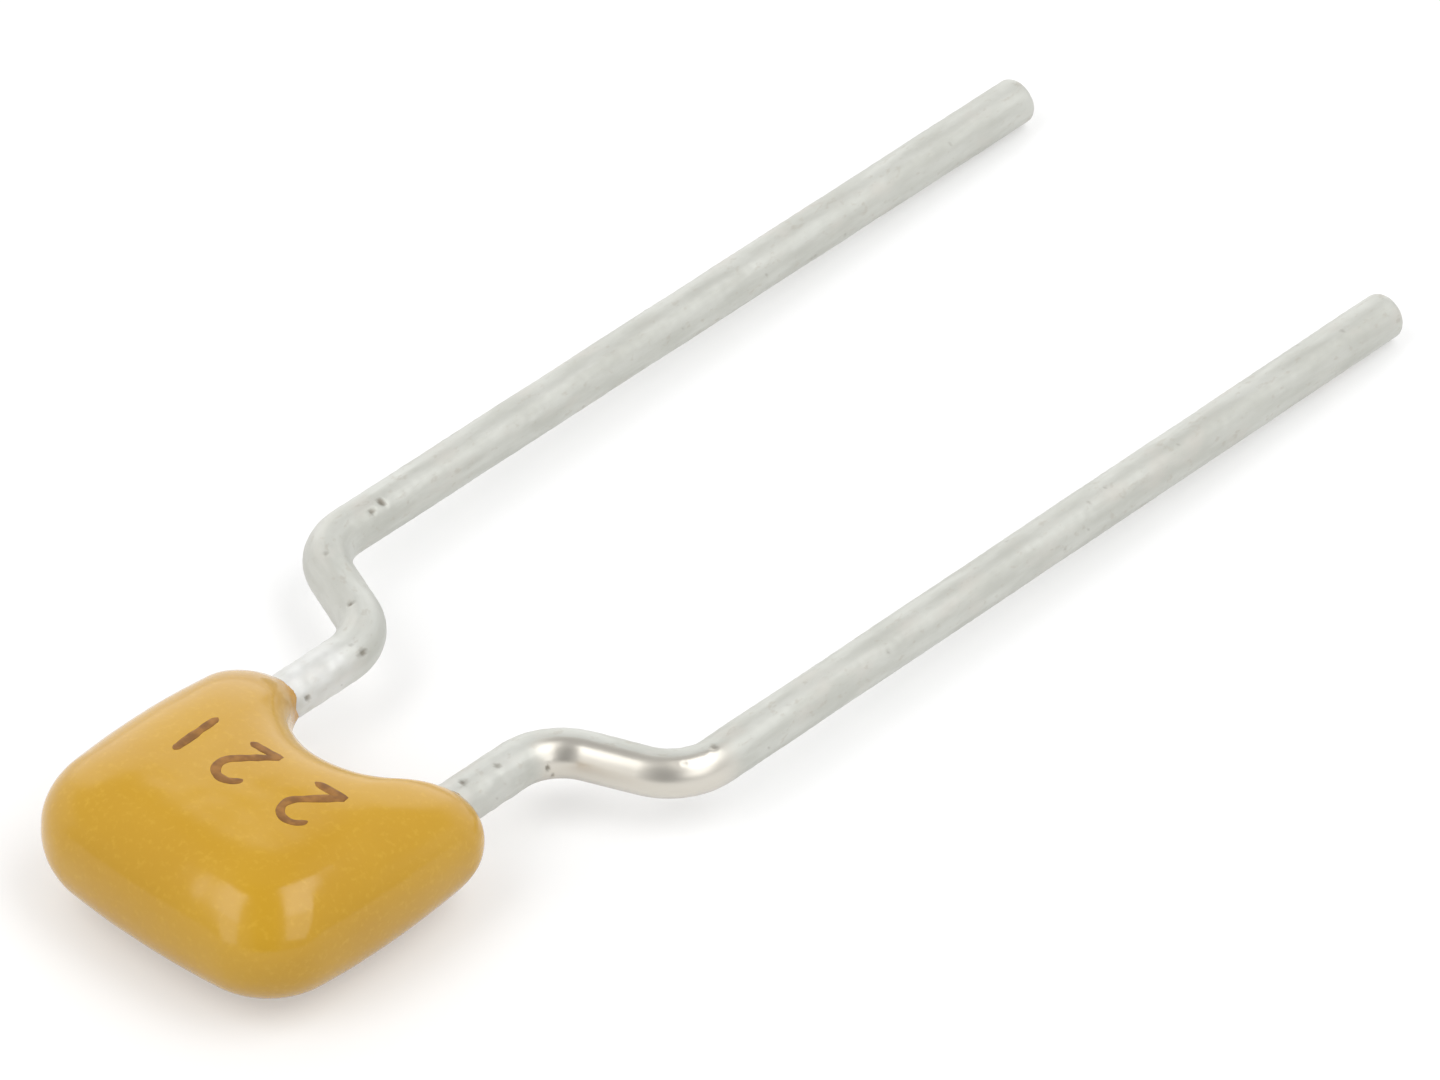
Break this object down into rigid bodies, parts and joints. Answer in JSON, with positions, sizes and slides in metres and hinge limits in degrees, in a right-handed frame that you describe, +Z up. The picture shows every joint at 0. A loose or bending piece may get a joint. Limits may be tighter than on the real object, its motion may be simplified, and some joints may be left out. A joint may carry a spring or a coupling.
{
  "type": "multilayer ceramic capacitor",
  "caption": "Epoxy-dipped radial multilayer ceramic capacitor: a ceramic chip soldered between kinked tinned wire leads, lying on its broad face.",
  "frame": {"origin": "middle of the bounding box's bottom face, on the table", "axes": "+X across the leads, +Y from the closed end of the coat towards the lead tips, +Z up from the table"},
  "size_m": [0.0056, 0.0158, 0.0016],
  "materials": {
    "epoxy": "glossy dipped epoxy, ochre yellow",
    "tin": "dull tinned wire",
    "ceramic": "fired matt ceramic",
    "electrode": "fired metal film",
    "termination": "fired and plated metal",
    "solder": "satin solder"
  },
  "bodies": {
    "root": {"epoxy_coat": "epoxy", "lead_left": "tin", "lead_right": "tin", "dielectric_block": "ceramic", "termination_left": "termination", "termination_right": "termination", "solder_left": "solder", "solder_right": "solder", "electrode_01": "electrode", "electrode_02": "electrode", "electrode_03": "electrode", "electrode_04": "electrode", "electrode_05": "electrode", "electrode_06": "electrode", "electrode_07": "electrode", "electrode_08": "electrode", "electrode_09": "electrode", "electrode_10": "electrode", "electrode_11": "electrode", "electrode_12": "electrode"}
  },
  "joints": []
}
